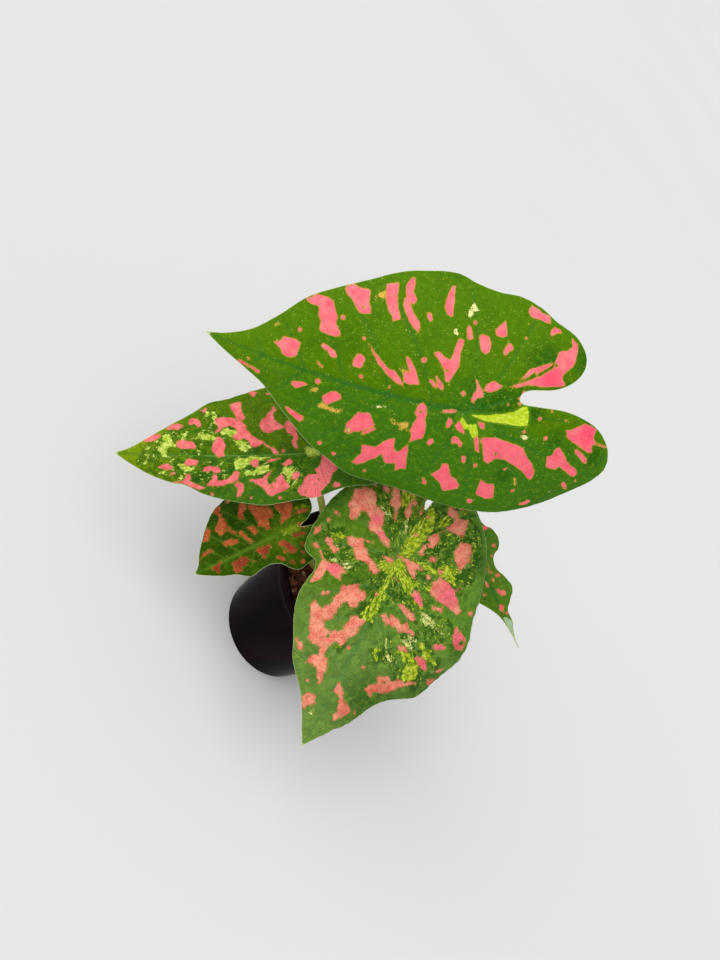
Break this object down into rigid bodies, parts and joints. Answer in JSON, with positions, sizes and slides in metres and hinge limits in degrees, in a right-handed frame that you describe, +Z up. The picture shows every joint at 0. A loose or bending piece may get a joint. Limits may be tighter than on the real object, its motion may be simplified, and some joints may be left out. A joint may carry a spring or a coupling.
{
  "type": "potted caladium",
  "caption": "Caladium plant in a round nursery pot, with heart-shaped leaves splashed pink and lime on arching stalks.",
  "frame": {"origin": "middle of the pot's flat underside", "axes": "+Z up the pot's axis; -Y towards the side that the leaves face; the largest leaf points to -X and -Y"},
  "size_m": [0.247, 0.1538, 0.2858],
  "materials": {
    "pot": "glossy black moulded plastic",
    "soil": "loose bark and peat",
    "tuber": "rough brown skin",
    "stem": "smooth satin olive green",
    "leaf": "satin green splashed with pink and lime"
  },
  "bodies": {
    "root": {"pot": "pot", "soil": "soil", "tuber": "tuber", "stem_1": "stem", "stem_2": "stem", "stem_3": "stem", "stem_4": "stem", "stem_5": "stem", "leaf_1": "leaf", "leaf_2": "leaf", "leaf_3": "leaf", "leaf_4": "leaf", "leaf_5": "leaf"}
  },
  "joints": []
}
